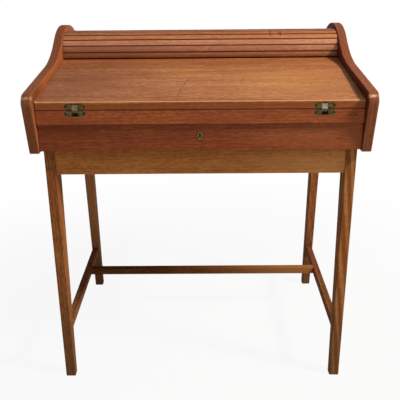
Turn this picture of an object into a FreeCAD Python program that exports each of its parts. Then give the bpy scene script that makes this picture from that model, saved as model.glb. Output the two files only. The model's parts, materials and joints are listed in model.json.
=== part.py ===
import FreeCAD, Part
import math
import os
import re
from types import SimpleNamespace

# Teak cylinder desk: two S-shaped cheeks, a roll of slats, a folding flap and a drawer on a leg frame.
# Lengths are millimetres, angles degrees. X runs along the width, Y from front to back, Z up.
# The origin is on the floor, at the middle of the desk. Setbacks are counted from the rail's front face,
# but the roll's axis is counted from the rear.

SIZES = (
    ("inner_width", 733, "clear width between the cheeks"),
    ("cheek_thickness", 24, "thickness of each cheek"),
    ("cheek_ease", 3, "rounding of the cheek's edges"),
    ("cheek_rear", 79, "reach of the cheeks behind the drawer's box"),
    ("cheek_lean", 11.2, "lean of the cheek's front edge from upright"),
    ("cheek_edge_rise", 37.3, "height of the cheek's sloping edge above the fold line"),
    ("cheek_edge_slope", 5.6, "slope of the cheek's edge beside the flap"),
    ("cheek_rise", 35, "steepest slope of the cheek's edge"),
    ("hollow_radius", 265, "radius of the hollow of the S curve"),
    ("crown_rise", 135.5, "height of the cheek's crown above the fold line"),
    ("crown_radius", 158, "radius of the crown of the S curve"),
    ("crown_lag", 46, "distance of the crown's highest point behind the roll's axis"),
    ("crown_fall", 26, "slope of the crown at the rear edge"),
    ("nose_overhang", 15.6, "reach of the cheek's nose in front of the rail face"),
    ("nose_radius", 22, "radius of the cheek's nose"),
    ("leg_height", 628, "underside of the case above the floor"),
    ("leg_width", 25, "width of a leg seen from the front"),
    ("leg_top_depth", 54, "depth of a leg at the top"),
    ("leg_foot_depth", 22, "depth of a leg at the foot"),
    ("leg_front", 34, "setback of the front legs at the top"),
    ("leg_rear_inset", 11, "step from the cheek's rear edge to the rear legs"),
    ("leg_rake", 17, "spread of a foot beyond the top of its leg"),
    ("leg_inset", 1.5, "step from the cheek's inner face to the leg"),
    ("leg_ease", 2.5, "rounding of the legs' and stretchers' edges"),
    ("apron_height", 62, "height of the aprons and side rails"),
    ("apron_thickness", 20, "thickness of the aprons and side rails"),
    ("apron_step", 4, "step from a leg's face to the apron's face"),
    ("stretcher_width", 19, "width of a stretcher"),
    ("stretcher_height", 21, "height of a stretcher"),
    ("stretcher_lift", 126, "underside of the stretchers above the floor"),
    ("cross_setback", 344, "setback of the cross stretcher's front face"),
    ("flap_slope", 6.87, "slope of the flap and of the writing board"),
    ("flap_thickness", 18.6, "upright thickness of the flap"),
    ("flap_rear_gap", 2, "gap between the folded flap and the roll"),
    ("flap_side_gap", 1.2, "gap between the flap's end and the cheek"),
    ("flap_rest_gap", 0.6, "gap between the folded flap and the board"),
    ("fold_gap", 0.5, "gap between flap and rail when the flap is unfolded"),
    ("edge_ease", 2, "rounding of the flap's, rail's and aprons' edges"),
    ("rail_height", 33.5, "height of the front rail under the fold line"),
    ("rail_depth", 26, "depth of the front rail"),
    ("rail_lift", 1.5, "gap between the drawer front's top and the front rail"),
    ("board_thickness", 18, "upright thickness of the writing board"),
    ("bottom_thickness", 8, "thickness of the case bottom"),
    ("back_thickness", 8, "thickness of the case back"),
    ("roll_radius", 58, "outer radius of the roll of slats"),
    ("roll_setback", 128, "distance of the roll's axis in front of the cheeks' rear edge"),
    ("roll_rise", 19, "height of the roll's axis above the writing board"),
    ("roll_start", -25, "angle of the roll's leading edge, from level at the front"),
    ("roll_travel", 74, "turn of the roll from shut to open"),
    ("roll_gap", 0.6, "gap between the roll and the top rail"),
    ("slat_pitch", 17.6, "width of one slat along the roll"),
    ("slat_gap", 0.8, "gap between slats at the backing cloth"),
    ("slat_thickness", 9, "thickness of a slat"),
    ("slat_swell", 1.3, "swell of a slat's outer face"),
    ("slat_end_gap", 1, "gap between a slat's shoulder and the cheek"),
    ("tongue_thickness", 4, "thickness of the slat tongues that run in the grooves"),
    ("tongue_length", 6.5, "length of the slat tongues"),
    ("groove_gap", 0.25, "play of the tongues' faces in their grooves"),
    ("groove_end_gap", 2, "groove left free beyond the roll's ends"),
    ("groove_depth_gap", 1, "groove left free beyond the tongues' tips"),
    ("cloth_thickness", 0.6, "thickness of the backing cloth"),
    ("glue_line", 0.05, "glue between the backing cloth and the slats"),
    ("cloth_margin", 2, "step from the cheek to the backing cloth's edge"),
    ("pull_radius", 3, "radius of the finger groove in the lead rail"),
    ("lip_lag", 14, "distance of the top rail's front lip behind the roll's axis"),
    ("top_drop", 34, "fall of the top rail's rear edge below the crown"),
    ("top_lip", 1.4, "thickness of the top rail's front lip"),
    ("top_bulge", 4, "swell of the top rail's upper face"),
    ("top_depth", 20, "height of the top rail's rear face"),
    ("false_back_lag", 28, "distance of the false back behind the roll's axis"),
    ("partition_reach", 40, "reach of the partitions in front of the roll's axis"),
    ("partition_gap", 2.4, "gap between the partitions and the backing cloth"),
    ("inner_thickness", 6, "thickness of the false back and the partitions"),
    ("drawer_setback", 7, "setback of the drawer front's face"),
    ("drawer_lift", 5.5, "height of the drawer front's lower edge above the case's underside"),
    ("drawer_height", 62, "height of the drawer front"),
    ("drawer_thickness", 20, "thickness of the drawer front"),
    ("drawer_end_gap", 1, "gap between the drawer front's end and the cheek"),
    ("drawer_depth", 410, "depth of the drawer box behind its front"),
    ("drawer_wall", 10, "thickness of the drawer's sides and back"),
    ("drawer_wall_gap", 2, "gap between the drawer's side and the cheek"),
    ("drawer_wall_drop", 4, "step from the drawer front's top down to its sides"),
    ("drawer_floor", 5, "thickness of the drawer's bottom"),
    ("drawer_floor_lift", 5, "height of the drawer's bottom above its sides' lower edge"),
    ("drawer_ease", 1.2, "rounding of the drawer front's edges"),
    ("runner_height", 3.7, "height of the drawer runners"),
    ("runner_width", 20, "width of the drawer runners"),
    ("runner_gap", 0.3, "play between the drawer's sides and the runners"),
    ("bottom_gap", 1, "gap between the drawer front and the case bottom"),
    ("kicker_depth", 20, "depth of the kicker rail above the drawer"),
    ("kicker_gap", 1.2, "gap between the drawer front's top and the kicker rail"),
    ("lock_width", 44, "width of the lock case"),
    ("lock_height", 36, "height of the lock case"),
    ("lock_depth", 9, "depth of the lock case"),
    ("bolt_width", 12, "width of the lock bolt"),
    ("bolt_depth", 4, "thickness of the lock bolt"),
    ("bolt_length", 14, "length of the lock bolt"),
    ("bolt_throw", 4, "travel of the lock bolt"),
    ("bolt_play", 0.4, "play round the lock bolt"),
    ("plate_width", 10.4, "width of the keyhole plate"),
    ("plate_height", 17.2, "height of the keyhole plate"),
    ("plate_thickness", 1, "thickness of the keyhole plate"),
    ("plate_flare", 0.6, "reach of the keyhole plate's foot beyond its sides"),
    ("plate_foot", 3, "height of the keyhole plate's flared foot"),
    ("plate_drop", 4.6, "distance of the keyhole's centre below the plate's top"),
    ("keyhole_lift", 38.8, "height of the keyhole's centre above the drawer front's lower edge"),
    ("keyhole_radius", 2.2, "radius of the keyhole's round part"),
    ("keyhole_slot", 3, "width of the keyhole's slot"),
    ("keyhole_drop", 9.3, "length of the keyhole's slot below its centre"),
    ("hinge_centre", 90, "distance of each hinge's middle from the cheek"),
    ("hinge_length", 48, "length of a hinge leaf"),
    ("hinge_bridge", 1.8, "metal between a hinge leaf's notch and its outer edge"),
    ("hinge_thickness", 2.2, "thickness of a hinge leaf"),
    ("hinge_edge", 1.2, "step from the fold line to the leaf"),
    ("hinge_fit", 0.1, "play of the leaf in its recess"),
    ("pivot_offset", 5.5, "distance of each pivot from the fold axis, inwards and along the face"),
    ("pin_radius", 1.3, "radius of the hinge pins"),
    ("pin_play", 0.1, "play round a hinge pin"),
    ("link_radius", 2.75, "half the thickness of a link"),
    ("link_width", 13, "width of a link"),
    ("link_ridge", 3, "height of the ridge across a link's outer face"),
    ("link_side_gap", 0.3, "gap at each side of a link"),
    ("link_room", 0.6, "room round a link and its lugs in the wood"),
    ("lug_thickness", 3, "thickness of the lugs that hold a hinge pin"),
    ("lug_wall", 1.5, "metal round a hinge pin"),
    ("overrun", 3, "reach of a cutting shape past the face it opens"),
    ("touching", 0.001, "distance under which two points count as one"),
)
SLAT_COUNT = 8
PARTITION_SHARES = (-1 / 6, 1 / 6)
SIDES = (("left", -1), ("right", 1))
ALONG_X = FreeCAD.Rotation(FreeCAD.Vector(0, 1, 0), 90)

doc = FreeCAD.newDocument("cylinder_desk")
sheet = doc.addObject("Spreadsheet::Sheet", "Sizes")
for row, (alias, value, note) in enumerate(SIZES, start=1):
    sheet.set(f"A{row}", note)
    sheet.set(f"B{row}", str(value))
    sheet.setAlias(f"B{row}", alias)
doc.recompute()
ALIASES = {alias for alias, _, _ in SIZES}
size = SimpleNamespace(**{alias: float(sheet.get(alias)) for alias in ALIASES})
nodes = []

# Places that many pieces share, as formulas for bound sizes and as numbers for outlines.
DEPTH = "(drawer_setback + drawer_thickness + drawer_depth + cheek_rear)"
FRONT = f"((nose_overhang - {DEPTH} + leg_rear_inset - leg_rake) / 2)"
DRAWER_LOW = "(leg_height + drawer_lift)"
DRAWER_TOP = f"({DRAWER_LOW} + drawer_height)"
JOINT = f"({DRAWER_TOP} + rail_lift + rail_height)"
DRAWER_BACK = f"({FRONT} + drawer_setback + drawer_thickness)"
SIDE_LOW = "(leg_height + bottom_thickness + runner_height + runner_gap)"
LINK_REACH = "(2 * sqrt(2) * pivot_offset - pivot_offset + link_radius + link_room)"
INSIDE = ("-inner_width / 2", "inner_width")
depth = size.drawer_setback + size.drawer_thickness + size.drawer_depth + size.cheek_rear
front = (size.nose_overhang - depth + size.leg_rear_inset - size.leg_rake) / 2
drawer_low = size.leg_height + size.drawer_lift
drawer_top = drawer_low + size.drawer_height
joint = drawer_top + size.rail_lift + size.rail_height
crown_z = joint + size.crown_rise
rear = front + depth
back_face = rear - size.back_thickness
slope = math.tan(math.radians(size.flap_slope))
link_reach = 2 * math.sqrt(2) * size.pivot_offset - size.pivot_offset + size.link_radius + size.link_room


def board_top(y):
    """Height of the writing board's upper face at a place from front to back."""
    return joint - size.flap_rest_gap / 2 + (y - front) * slope


# The roll turns about one axis, so slats, grooves, cloth and partitions are arcs about it.
roll_axis = (rear - size.roll_setback, board_top(rear - size.roll_setback) + size.roll_rise)
roll_inner = size.roll_radius - size.slat_thickness
tongue_outer = roll_inner + size.tongue_thickness
slat_turn = math.degrees(size.slat_pitch / size.roll_radius)
gap_turn = math.degrees(size.slat_gap / roll_inner)
end_turn = math.degrees(size.groove_end_gap / roll_inner)
roll_end = size.roll_start + SLAT_COUNT * slat_turn


def cells(formula):
    """Point every size named in a formula at its cell in the sheet."""
    return re.sub(r"[a-z_]+", lambda word: f"Sizes.{word[0]}" if word[0] in ALIASES else word[0], formula)


def keep(thing):
    """Count an object as a finished piece of the desk."""
    nodes.append(thing)
    return thing


def point(place):
    """A place in an outline as a vector of its plane."""
    return FreeCAD.Vector(place[0], place[1], 0)


def line(start, end):
    """A straight stretch of an outline."""
    return Part.LineSegment(point(start), point(end))


def arc(start, middle, end):
    """A round stretch of an outline through three points."""
    return Part.Arc(point(start), point(middle), point(end))


def circle(centre, radius):
    """A full circle in an outline."""
    return Part.Circle(point(centre), FreeCAD.Vector(0, 0, 1), radius)


def around(radius, angle):
    """A point about the roll's axis; angles count from level at the front, rising over the top."""
    turn = math.radians(angle)
    return (roll_axis[0] - radius * math.cos(turn), roll_axis[1] + radius * math.sin(turn))


def sweep(radius, first, last):
    """A round stretch about the roll's axis between two angles."""
    return arc(*(around(radius, angle) for angle in (first, (first + last) / 2, last)))


def ring(inner, outer, first, last):
    """A closed band between two radii and two angles about the roll's axis."""
    return [
        sweep(inner, first, last),
        line(around(inner, last), around(outer, last)),
        sweep(outer, first, last),
        line(around(inner, first), around(outer, first)),
    ]


def stadium(across, low, high, radius):
    """An upright slot or bar with round ends."""
    return [
        arc((across - radius, low), (across, low - radius), (across + radius, low)),
        line((across + radius, low), (across + radius, high)),
        arc((across + radius, high), (across, high + radius), (across - radius, high)),
        line((across - radius, high), (across - radius, low)),
    ]


def rounded(corners):
    """Close a polygon whose corners (across, up, radius) are rounded by tangent arcs."""
    curves = []
    starts = []
    ends = []
    for index, corner in enumerate(corners):
        radius = corner[2]
        here = point(corner)
        before = (point(corners[index - 1]) - here).normalize()
        after = (point(corners[(index + 1) % len(corners)]) - here).normalize()
        half_angle = before.getAngle(after) / 2
        inward = (before + after).normalize()
        starts.append(here + before * (radius / math.tan(half_angle)))
        ends.append(here + after * (radius / math.tan(half_angle)))
        if radius > 0:
            middle = here + inward * (radius / math.sin(half_angle) - radius)
            curves.append(Part.Arc(starts[-1], middle, ends[-1]))
    for index, end in enumerate(ends):
        start = starts[(index + 1) % len(starts)]
        if end.distanceToPoint(start) > size.touching:
            curves.append(Part.LineSegment(end, start))
    return curves


def profile(label, curves, place, length, plane="YZ_Plane"):
    """Pad an outline: of the side view along the width, or of the front view towards the back."""
    body = doc.addObject("PartDesign::Body", label)
    support = next(item for item in body.Origin.OriginFeatures if item.Role == plane)
    sketch = body.newObject("Sketcher::SketchObject", f"{label}_outline")
    sketch.AttachmentSupport = [(support, "")]
    sketch.MapMode = "FlatFace"
    for curve in curves:
        sketch.addGeometry(curve, False)
    pad = body.newObject("PartDesign::Pad", f"{label}_pad")
    pad.Profile = sketch
    pad.Reversed = plane == "XZ_Plane"
    pad.setExpression("Length", cells(length))
    body.Tip = pad
    axis = "y" if plane == "XZ_Plane" else "x"
    body.setExpression(f"Placement.Base.{axis}", cells(place))
    return body


def put(thing, place):
    """Bind an object's place to three formulas."""
    for axis, formula in zip("xyz", place):
        thing.setExpression(f"Placement.Base.{axis}", cells(formula))
    return thing


def block(label, place, lengths):
    """A rectangular piece from its lowest corner and its three lengths, all as formulas."""
    box = doc.addObject("Part::Box", label)
    for name, formula in zip(("Length", "Width", "Height"), lengths):
        box.setExpression(name, cells(formula))
    return put(box, place)


def rod(label, radius, length, place):
    """A cylinder that lies along the width."""
    cylinder = doc.addObject("Part::Cylinder", label)
    cylinder.setExpression("Radius", cells(radius))
    cylinder.setExpression("Height", cells(length))
    cylinder.Placement = FreeCAD.Placement(FreeCAD.Vector(), ALONG_X)
    return put(cylinder, place)


def fused(label, pieces):
    """Join shapes into one solid."""
    result = doc.addObject("Part::MultiFuse", label)
    result.Shapes = pieces
    return result


def cut(label, base, tools):
    """Take cutting shapes out of a blank."""
    result = doc.addObject("Part::Cut", label)
    result.Base = base
    result.Tool = fused(f"{label}_cutters", tools) if len(tools) > 1 else tools[0]
    return result


def ease(body, radius, chosen):
    """Round those edges along a padded piece's outline that a test picks."""
    doc.recompute()
    pad = body.Tip
    edges = [
        f"Edge{number}"
        for number, edge in enumerate(pad.Shape.Edges, start=1)
        if edge.BoundBox.XLength < size.touching and chosen(edge)
    ]
    fillet = body.newObject("PartDesign::Fillet", f"{body.Name}_ease")
    fillet.Base = (pad, edges)
    fillet.setExpression("Radius", cells(radius))
    body.Tip = fillet
    return body


def beside(sign, inset, width):
    """Formula for the left face of a piece that stands inside one of the cheeks."""
    if sign > 0:
        return f"inner_width / 2 - ({inset}) - ({width})"
    return f"-inner_width / 2 + ({inset})"


def cheek_outline():
    """The S-shaped side: upright back, round crown, hollow, straight edge, nose and leaning front."""
    lean = math.radians(size.cheek_lean)
    edge = math.radians(size.cheek_edge_slope)
    rise = math.radians(size.cheek_rise)
    fall = math.radians(size.crown_fall)
    edge_base = joint + size.cheek_edge_rise - front * math.tan(edge)
    nose_y = front - size.nose_overhang + size.nose_radius
    nose_z = edge_base + nose_y * math.tan(edge) - size.nose_radius / math.cos(edge)
    toe = nose_y - size.nose_radius * math.cos(lean)
    toe += (nose_z - size.nose_radius * math.sin(lean) - size.leg_height) * math.tan(lean)
    nose_corner = toe - (edge_base - size.leg_height) * math.tan(lean)
    nose_corner /= 1 + math.tan(edge) * math.tan(lean)
    crown_y = roll_axis[0] + size.crown_lag
    crown_reach = size.crown_radius * math.tan(rise / 2)
    rise_y = crown_y - crown_reach
    hollow_y = (crown_z - rise_y * math.tan(rise) - edge_base) / (math.tan(edge) - math.tan(rise))
    room = (rise_y - hollow_y) / math.cos(rise) - crown_reach
    hollow = min(size.hollow_radius, room / math.tan((rise - edge) / 2))
    fall_y = crown_y + size.crown_radius * math.tan(fall / 2)
    return rounded([
        (toe, size.leg_height, 0),
        (nose_corner, edge_base + nose_corner * math.tan(edge), size.nose_radius),
        (hollow_y, edge_base + hollow_y * math.tan(edge), hollow),
        (rise_y, crown_z, size.crown_radius),
        (fall_y, crown_z, size.crown_radius),
        (rear, crown_z - (rear - fall_y) * math.tan(fall), 0),
        (rear, size.leg_height, 0),
    ])


def make_cheeks():
    """Two cheeks with the curved grooves that guide the roll."""
    groove = profile(
        "roll_groove",
        ring(
            roll_inner - size.groove_gap,
            tongue_outer + size.groove_gap,
            size.roll_start - end_turn,
            roll_end + size.roll_travel + end_turn,
        ),
        "-inner_width / 2 - tongue_length - groove_depth_gap",
        "inner_width + 2 * (tongue_length + groove_depth_gap)",
    )
    for side, sign in SIDES:
        place = "inner_width / 2" if sign > 0 else "-inner_width / 2 - cheek_thickness"
        blank = profile(f"cheek_{side}_blank", cheek_outline(), place, "cheek_thickness")
        ease(blank, "cheek_ease", lambda edge: edge.BoundBox.YLength > size.touching)
        keep(cut(f"cheek_{side}", blank, [groove]))


def leg_faces(z):
    """Places of the front leg's two faces and the rear leg's two faces at a height."""
    share = 1 - z / size.leg_height
    spread = size.leg_rake * share
    depth = size.leg_top_depth + (size.leg_foot_depth - size.leg_top_depth) * share
    near = front + size.leg_front - spread
    far = rear - size.leg_rear_inset + spread
    return near, near + depth, far - depth, far


def make_legs():
    """Four legs that taper and spread towards the floor."""
    tops = leg_faces(size.leg_height)
    feet = leg_faces(0)
    for row, first, second in (("front", 0, 1), ("rear", 2, 3)):
        outline = [
            (feet[first], 0, 0),
            (tops[first], size.leg_height, 0),
            (tops[second], size.leg_height, 0),
            (feet[second], 0, 0),
        ]
        for side, sign in SIDES:
            place = beside(sign, "leg_inset", "leg_width")
            leg = profile(f"leg_{row}_{side}", rounded(outline), place, "leg_width")
            keep(ease(leg, "leg_ease", lambda edge: edge.Length > size.leg_height / 2))


def bar(near, far, low, high, radius):
    """The rectangular section of a rail, with its lower corners rounded."""
    return rounded([(near, low, radius), (near, high, 0), (far, high, 0), (far, low, radius)])


def make_aprons():
    """Aprons between the front legs and between the rear legs, under the case."""
    low = size.leg_height - size.apron_height
    tops = leg_faces(size.leg_height)
    inset = "leg_inset + leg_width"
    for row, near in (
        ("front", tops[0] + size.apron_step),
        ("rear", tops[3] - size.apron_step - size.apron_thickness),
    ):
        section = bar(near, near + size.apron_thickness, low, size.leg_height, size.edge_ease)
        keep(profile(f"apron_{row}", section, f"-inner_width / 2 + {inset}", f"inner_width - 2 * ({inset})"))


def make_side_rails():
    """Side rails and side stretchers whose ends follow the slanting legs, and the cross stretcher."""
    apron_low = size.leg_height - size.apron_height
    low = size.stretcher_lift
    high = low + size.stretcher_height
    for side, sign in SIDES:
        for label, bottom, top, width in (
            (f"side_rail_{side}", apron_low, size.leg_height, "apron_thickness"),
            (f"side_stretcher_{side}", low, high, "stretcher_width"),
        ):
            outline = [
                (leg_faces(bottom)[1], bottom, 0),
                (leg_faces(top)[1], top, 0),
                (leg_faces(top)[2], top, 0),
                (leg_faces(bottom)[2], bottom, 0),
            ]
            place = beside(sign, f"leg_inset + (leg_width - {width}) / 2", width)
            rail = keep(profile(label, rounded(outline), place, width))
            if bottom == low:
                ease(rail, "leg_ease", lambda edge: edge.BoundBox.ZLength < size.touching)
    near = front + size.cross_setback
    far = near + size.stretcher_width
    corners = ((near, low), (near, high), (far, high), (far, low))
    outline = rounded([(y, z, size.leg_ease) for y, z in corners])
    inset = "leg_inset + (leg_width + stretcher_width) / 2"
    keep(profile("cross_stretcher", outline, f"-inner_width / 2 + {inset}", f"inner_width - 2 * ({inset})"))


def make_case():
    """Bottom, back, writing board and the runners of the drawer."""
    near = f"{DRAWER_BACK} + bottom_gap"
    far = f"({FRONT} + {DEPTH} - back_thickness)"
    keep(block(
        "case_bottom",
        (INSIDE[0], near, "leg_height"),
        (INSIDE[1], f"{far} - ({near})", "bottom_thickness"),
    ))
    keep(block(
        "case_back",
        (INSIDE[0], far, "leg_height"),
        (INSIDE[1], "back_thickness", f"{JOINT} + crown_rise - top_drop - top_depth - leg_height"),
    ))
    board_y = front + size.rail_depth
    keep(profile(
        "writing_board",
        rounded([
            (board_y, board_top(board_y) - size.board_thickness, 0),
            (board_y, board_top(board_y), 0),
            (back_face, board_top(back_face), 0),
            (back_face, board_top(back_face) - size.board_thickness, 0),
        ]),
        *INSIDE,
    ))
    for side, sign in SIDES:
        keep(block(
            f"drawer_runner_{side}",
            (beside(sign, "0", "runner_width"), near, "leg_height + bottom_thickness"),
            ("runner_width", "drawer_depth", "runner_height"),
        ))


def make_top_rail():
    """The coved rail behind the crest of the roll, under which the slats disappear."""
    cove = size.roll_radius + size.roll_gap
    rear_top = crown_z - size.top_drop
    low = rear_top - size.top_depth
    first = 90 + math.degrees(math.asin(size.lip_lag / cove))
    last = 180 - math.degrees(math.asin((low - roll_axis[1]) / cove))
    lip = around(cove, first)
    lip_top = (lip[0], lip[1] + size.top_lip)
    middle = ((lip[0] + rear) / 2, (lip_top[1] + rear_top) / 2 + size.top_bulge)
    keep(profile(
        "top_rail",
        [
            sweep(cove, first, last),
            line(around(cove, last), (rear, low)),
            line((rear, low), (rear, rear_top)),
            arc((rear, rear_top), middle, lip_top),
            line(lip_top, lip),
        ],
        *INSIDE,
    ))


def make_pigeonholes():
    """A false back and partitions on the writing board, inside the roll."""
    limit = roll_inner - size.glue_line - size.cloth_thickness - size.partition_gap
    near = roll_axis[0] - size.partition_reach
    middle = roll_axis[0] + size.false_back_lag
    far = middle + size.inner_thickness
    near_angle = math.degrees(math.acos(size.partition_reach / limit))
    middle_angle = 90 + math.degrees(math.asin(size.false_back_lag / limit))
    far_angle = 90 + math.degrees(math.asin((size.false_back_lag + size.inner_thickness) / limit))
    top = around(limit, far_angle)[1]
    keep(profile(
        "false_back",
        rounded([
            (middle, board_top(middle), 0),
            (middle, top, 0),
            (far, top, 0),
            (far, board_top(far), 0),
        ]),
        *INSIDE,
    ))
    outline = [
        line((near, board_top(near)), around(limit, near_angle)),
        sweep(limit, near_angle, middle_angle),
        line(around(limit, middle_angle), (middle, board_top(middle))),
        line((middle, board_top(middle)), (near, board_top(near))),
    ]
    for number, share in enumerate(PARTITION_SHARES, start=1):
        place = f"inner_width * {share} - inner_thickness / 2"
        keep(profile(f"partition_{number}", outline, place, "inner_thickness"))


def make_roll():
    """The lead rail and slats of the roll, with the cloth that backs them."""
    shoulder = ("-inner_width / 2 + slat_end_gap", "inner_width - 2 * slat_end_gap")
    tongue = ("-inner_width / 2 - tongue_length", "inner_width + 2 * tongue_length")
    edge = size.roll_radius - size.slat_swell
    for number in range(SLAT_COUNT):
        label = f"slat_{number}" if number else "lead_rail"
        first = size.roll_start + number * slat_turn + gap_turn / 2
        last = first + slat_turn - gap_turn
        crest = around(size.roll_radius, (first + last) / 2)
        face = [
            sweep(roll_inner, first, last),
            line(around(roll_inner, last), around(edge, last)),
            arc(around(edge, last), crest, around(edge, first)),
            line(around(edge, first), around(roll_inner, first)),
        ]
        strip = profile(f"{label}_strip", face, *shoulder)
        ends = profile(f"{label}_tongues", ring(roll_inner, tongue_outer, first, last), *tongue)
        if number:
            keep(fused(label, [strip, ends]))
        else:
            groove = profile("finger_groove", [circle(crest, size.pull_radius)], *shoulder)
            keep(cut(label, fused(f"{label}_blank", [strip, ends]), [groove]))
    outer = roll_inner - size.glue_line
    keep(profile(
        "backing_cloth",
        ring(outer - size.cloth_thickness, outer, size.roll_start + gap_turn, roll_end - gap_turn),
        "-inner_width / 2 + cloth_margin",
        "inner_width - 2 * cloth_margin",
    ))


def leaf_outline(middle, up, fit, slot):
    """A hinge leaf with half-round ends; slot is the half width of its notch at the fold, or zero."""
    near = joint + up * (size.hinge_edge - fit)
    far = joint + up * (link_reach + size.hinge_bridge + fit)
    end = size.hinge_length / 2 + fit
    radius = (far - near) * up / 2
    deep = joint + up * link_reach
    notch = [
        (middle - slot, near, 0),
        (middle - slot, deep, 0),
        (middle + slot, deep, 0),
        (middle + slot, near, 0),
    ]
    return rounded([
        (middle - end, near, radius),
        *(notch if slot else []),
        (middle + end, near, radius),
        (middle + end, far, radius),
        (middle - end, far, radius),
    ])


def make_leaf(tag, sign, up):
    """One hinge leaf with its lugs and pin; gives the shapes to cut from the wood."""
    grip = "(link_width / 2 + link_side_gap)"
    centre = f"{sign} * (inner_width / 2 - hinge_centre)"
    middle = sign * (size.inner_width / 2 - size.hinge_centre)
    slot = size.link_width / 2 + size.link_side_gap
    plate = profile(f"{tag}_plate", leaf_outline(middle, up, 0, slot), FRONT, "hinge_thickness", "XZ_Plane")
    recess = profile(
        f"{tag}_recess",
        leaf_outline(middle, up, size.hinge_fit, 0),
        f"{FRONT} - overrun",
        "hinge_thickness + overrun",
        "XZ_Plane",
    )
    lug_height = "(pivot_offset + pin_radius + lug_wall - hinge_edge)"
    lug_low = f"{JOINT} + hinge_edge" if up > 0 else f"{JOINT} - hinge_edge - {lug_height}"
    lugs = [
        block(
            f"{tag}_lug_{hand}",
            (f"{centre} + {place}", FRONT, lug_low),
            ("lug_thickness", "pivot_offset + pin_radius + lug_wall", lug_height),
        )
        for hand, place in (("left", f"(-{grip} - lug_thickness)"), ("right", grip))
    ]
    pin_place = (
        f"{centre} - {grip}",
        f"{FRONT} - fold_gap / 2 + pivot_offset",
        f"{JOINT} + {up} * pivot_offset",
    )
    pin = rod(f"{tag}_pin", "pin_radius", f"2 * {grip}", pin_place)
    keep(fused(tag, [plate, *lugs, pin]))
    room = f"({grip} + lug_thickness + link_room)"
    mortise = block(
        f"{tag}_mortise",
        (
            f"{centre} - {room}",
            f"{FRONT} - overrun",
            f"{JOINT} - overrun" if up > 0 else f"{JOINT} - {LINK_REACH}",
        ),
        (f"2 * {room}", f"{LINK_REACH} + overrun", f"{LINK_REACH} + overrun"),
    )
    return [recess, mortise]


def make_hinge_half(half, up):
    """Both leaves of the flap (up = 1) or of the rail (up = -1); gives the shapes to cut from the wood."""
    cutters = []
    for side, sign in SIDES:
        cutters.extend(make_leaf(f"hinge_leaf_{half}_{side}", sign, up))
    return cutters


def make_links():
    """Ridged, slotted links: the upper pin slides in the slot while the flap folds about the edge."""
    pivot_y = front - size.fold_gap / 2 + size.pivot_offset
    face = pivot_y - size.link_radius
    ridge = (face - size.link_ridge, joint)
    low = joint - size.pivot_offset
    near = low + 2 * size.pivot_offset
    far = low + 2 * math.sqrt(2) * size.pivot_offset
    bore = size.pin_radius + size.pin_play
    outline = [
        *stadium(pivot_y, low, far, size.link_radius)[:-1],
        line((face, far), ridge),
        line(ridge, (face, low)),
        circle((pivot_y, low), bore),
        *stadium(pivot_y, near, far, bore),
    ]
    for side, sign in SIDES:
        place = f"{sign} * (inner_width / 2 - hinge_centre) - link_width / 2"
        keep(profile(f"hinge_link_{side}", outline, place, "link_width"))


def make_writing_surface():
    """The front rail and the folding flap, let in for the link hinges."""
    rail_y = front + size.rail_depth
    rail_low = joint - size.rail_height
    rail = profile(
        "front_rail_blank",
        rounded([
            (front, rail_low, size.edge_ease),
            (front, board_top(front), 0),
            (rail_y, board_top(rail_y), 0),
            (rail_y, rail_low, 0),
        ]),
        *INSIDE,
    )
    keep(cut("front_rail", rail, make_hinge_half("lower", -1)))
    flap_y = roll_axis[0] - size.roll_radius - size.flap_rear_gap
    flap_low = board_top(front) + size.flap_rest_gap
    rear_low = board_top(flap_y) + size.flap_rest_gap
    flap = profile(
        "flap_blank",
        rounded([
            (front, flap_low, 0),
            (front, flap_low + size.flap_thickness, size.edge_ease),
            (flap_y, rear_low + size.flap_thickness, size.edge_ease),
            (flap_y, rear_low, 0),
        ]),
        "-inner_width / 2 + flap_side_gap",
        "inner_width - 2 * flap_side_gap",
    )
    keep(cut("flap", flap, make_hinge_half("upper", 1)))
    make_links()


def keyhole(label, near, depth):
    """The keyhole's round part and slot as one cutting shape."""
    z = drawer_low + size.keyhole_lift
    half_slot = size.keyhole_slot / 2
    low = z - size.keyhole_drop
    slot = rounded([(-half_slot, low, 0), (half_slot, low, 0), (half_slot, z, 0), (-half_slot, z, 0)])
    return fused(label, [
        profile(f"{label}_round", [circle((0, z), size.keyhole_radius)], near, depth, "XZ_Plane"),
        profile(f"{label}_slot", slot, near, depth, "XZ_Plane"),
    ])


def make_drawer():
    """The drawer's front, box, keyhole plate, lock and bolt."""
    near = front + size.drawer_setback
    face = f"({FRONT} + drawer_setback)"
    far = near + size.drawer_thickness
    corners = ((near, drawer_low), (near, drawer_top), (far, drawer_top), (far, drawer_low))
    blank = profile(
        "drawer_front_blank",
        rounded([(y, z, size.drawer_ease) for y, z in corners]),
        "-inner_width / 2 + drawer_end_gap",
        "inner_width - 2 * drawer_end_gap",
    )
    keep(cut("drawer_front", blank, [keyhole("front_keyhole", face, "drawer_thickness")]))
    height = f"({DRAWER_TOP} - drawer_wall_drop - {SIDE_LOW})"
    inset = "(drawer_wall_gap + drawer_wall)"
    inner = ("-inner_width / 2 + " + inset, f"inner_width - 2 * {inset}")
    for side, sign in SIDES:
        keep(block(
            f"drawer_side_{side}",
            (beside(sign, "drawer_wall_gap", "drawer_wall"), DRAWER_BACK, SIDE_LOW),
            ("drawer_wall", "drawer_depth", height),
        ))
    keep(block(
        "drawer_back",
        (inner[0], f"{DRAWER_BACK} + drawer_depth - drawer_wall", SIDE_LOW),
        (inner[1], "drawer_wall", height),
    ))
    keep(block(
        "drawer_bottom",
        (inner[0], DRAWER_BACK, f"{SIDE_LOW} + drawer_floor_lift"),
        (inner[1], "drawer_depth - drawer_wall", "drawer_floor"),
    ))
    make_keyhole_plate(f"({face} - plate_thickness)")


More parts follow.
